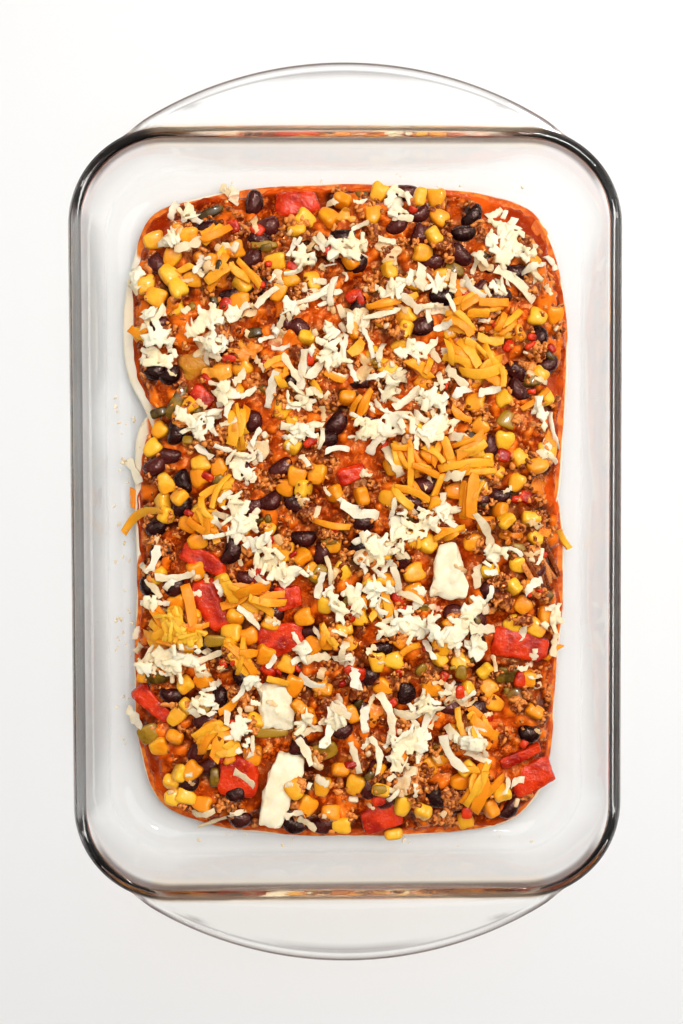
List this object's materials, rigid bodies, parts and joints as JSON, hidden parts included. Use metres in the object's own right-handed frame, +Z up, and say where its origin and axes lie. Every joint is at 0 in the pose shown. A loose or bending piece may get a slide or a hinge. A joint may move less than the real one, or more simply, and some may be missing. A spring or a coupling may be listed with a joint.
{
  "type": "enchilada casserole in dish",
  "caption": "Clear glass oblong baking dish with end handles, holding tortillas topped with meat, beans, corn, tomato and grated cheese.",
  "frame": {"origin": "middle of the dish's flat underside, on the surface that the dish stands on", "axes": "+Y along the dish's long side towards one handle, +X along its short side, +Z up"},
  "size_m": [0.236, 0.3866, 0.056],
  "materials": {
    "glass": "clear pressed glass, smooth",
    "tortilla": "cream flour tortilla, matte, stained by sauce at its edge",
    "filling": "wet red-brown enchilada sauce with meat, beans, corn and grated cheese",
    "tomato": "wet red tomato with a smooth skin",
    "pepper": "cooked pepper, orange to olive, slightly clear",
    "cheese": "fresh white cheese, satin"
  },
  "bodies": {
    "root": {"dish": "glass", "tortilla_front": "tortilla", "tortilla_back": "tortilla", "filling": "filling", "tomato_1": "tomato", "tomato_2": "tomato", "tomato_3": "tomato", "tomato_4": "tomato", "tomato_5": "tomato", "tomato_6": "tomato", "tomato_7": "tomato", "tomato_8": "tomato", "tomato_9": "tomato", "tomato_10": "tomato", "tomato_11": "tomato", "tomato_12": "tomato", "tomato_13": "tomato", "pepper_1": "pepper", "cheese_chunk_1": "cheese", "cheese_chunk_2": "cheese", "cheese_chunk_3": "cheese"}
  },
  "joints": []
}
